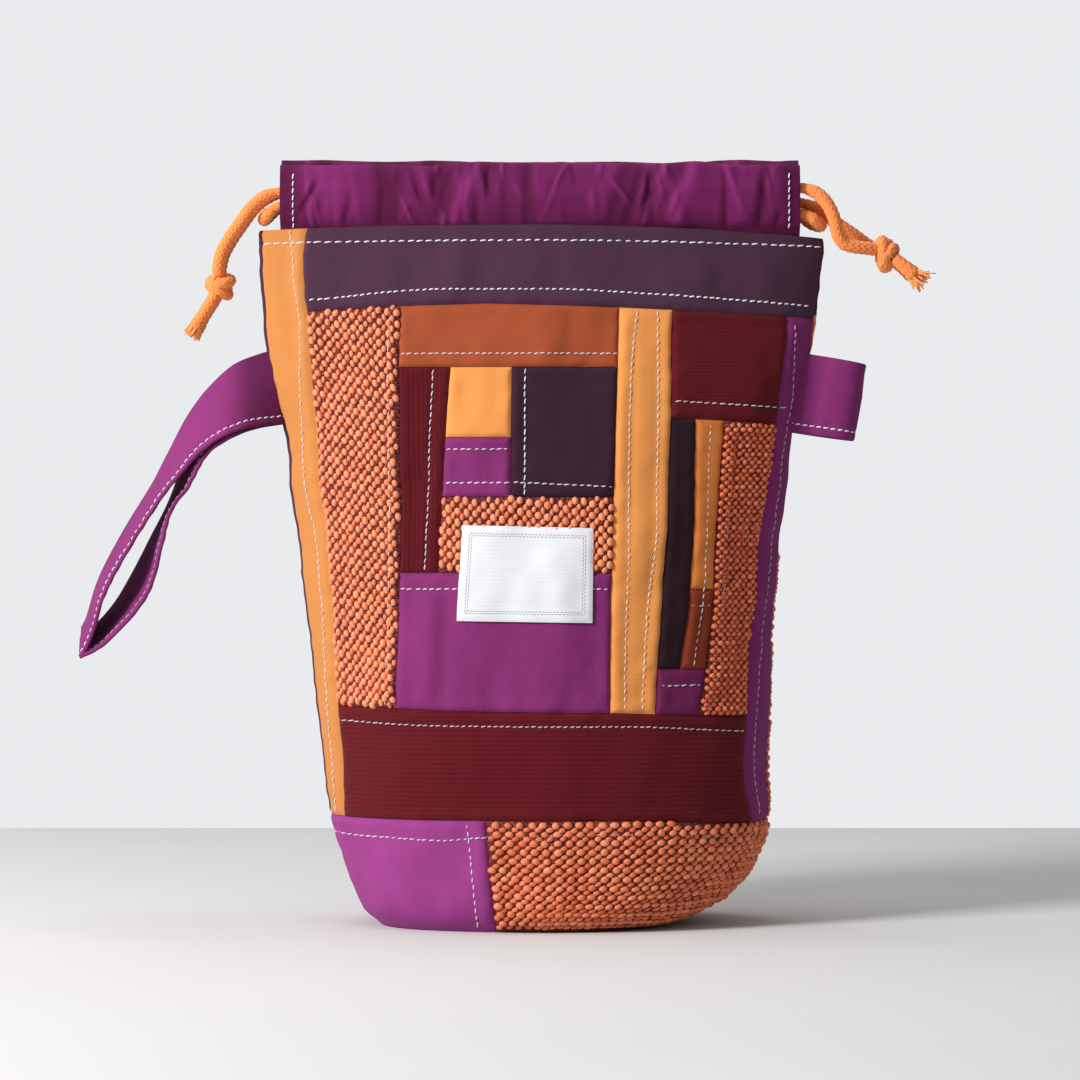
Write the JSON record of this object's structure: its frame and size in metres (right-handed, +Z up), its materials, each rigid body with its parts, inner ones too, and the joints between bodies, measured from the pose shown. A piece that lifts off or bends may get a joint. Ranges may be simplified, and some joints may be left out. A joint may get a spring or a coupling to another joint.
{
  "type": "drawstring pouch",
  "caption": "Patchwork kinchaku drawstring pouch with a boxed base, lined inside, with a purple drawstring collar, orange knotted cords, a wrist strap and a side tab.",
  "frame": {"origin": "middle of the base on the surface the pouch stands on", "axes": "+Z up, the patchwork front faces -Y, +X towards the side tab"},
  "size_m": [0.3183, 0.094, 0.2834],
  "materials": {
    "purple_cotton": "plain-weave cotton, matt",
    "mustard_twill": "cotton twill, matt",
    "aubergine_twill": "cotton twill, matt",
    "rust_cotton": "plain-weave cotton, matt",
    "burgundy_corduroy": "fine-wale corduroy",
    "orange_tweed": "coarse basket-weave tweed of orange and dark purple yarn",
    "orange_cord": "soft braided cotton cord",
    "lining_cotton": "plain-weave cotton, matt",
    "label_satin": "white woven satin, left bare"
  },
  "bodies": {
    "root": {"aubergine_block": "aubergine_twill", "aubergine_strip": "aubergine_twill", "back_casing": "purple_cotton", "back_mustard": "mustard_twill", "back_panel": "aubergine_twill", "back_tweed": "orange_tweed", "base_purple": "purple_cotton", "base_tweed": "orange_tweed", "cord_left": "orange_cord", "cord_right": "orange_cord", "corduroy_band": "burgundy_corduroy", "corduroy_column": "burgundy_corduroy", "corduroy_top": "burgundy_corduroy", "front_casing": "purple_cotton", "knot_left": "orange_cord", "knot_right": "orange_cord", "label": "label_satin", "lining": "lining_cotton", "mustard_narrow": "mustard_twill", "mustard_side_strip": "mustard_twill", "mustard_square": "mustard_twill", "mustard_strip": "mustard_twill", "purple_block": "purple_cotton", "purple_side_strip": "purple_cotton", "purple_small": "purple_cotton", "purple_square": "purple_cotton", "rim_band_back": "aubergine_twill", "rim_band_front": "aubergine_twill", "rust_narrow": "rust_cotton", "rust_top": "rust_cotton", "side_tab": "purple_cotton", "tail_left_back": "orange_cord", "tail_left_front": "orange_cord", "tail_right_back": "orange_cord", "tail_right_front": "orange_cord", "tweed_left": "orange_tweed", "tweed_middle": "orange_tweed", "tweed_right": "orange_tweed", "wrist_strap": "purple_cotton"}
  },
  "joints": []
}
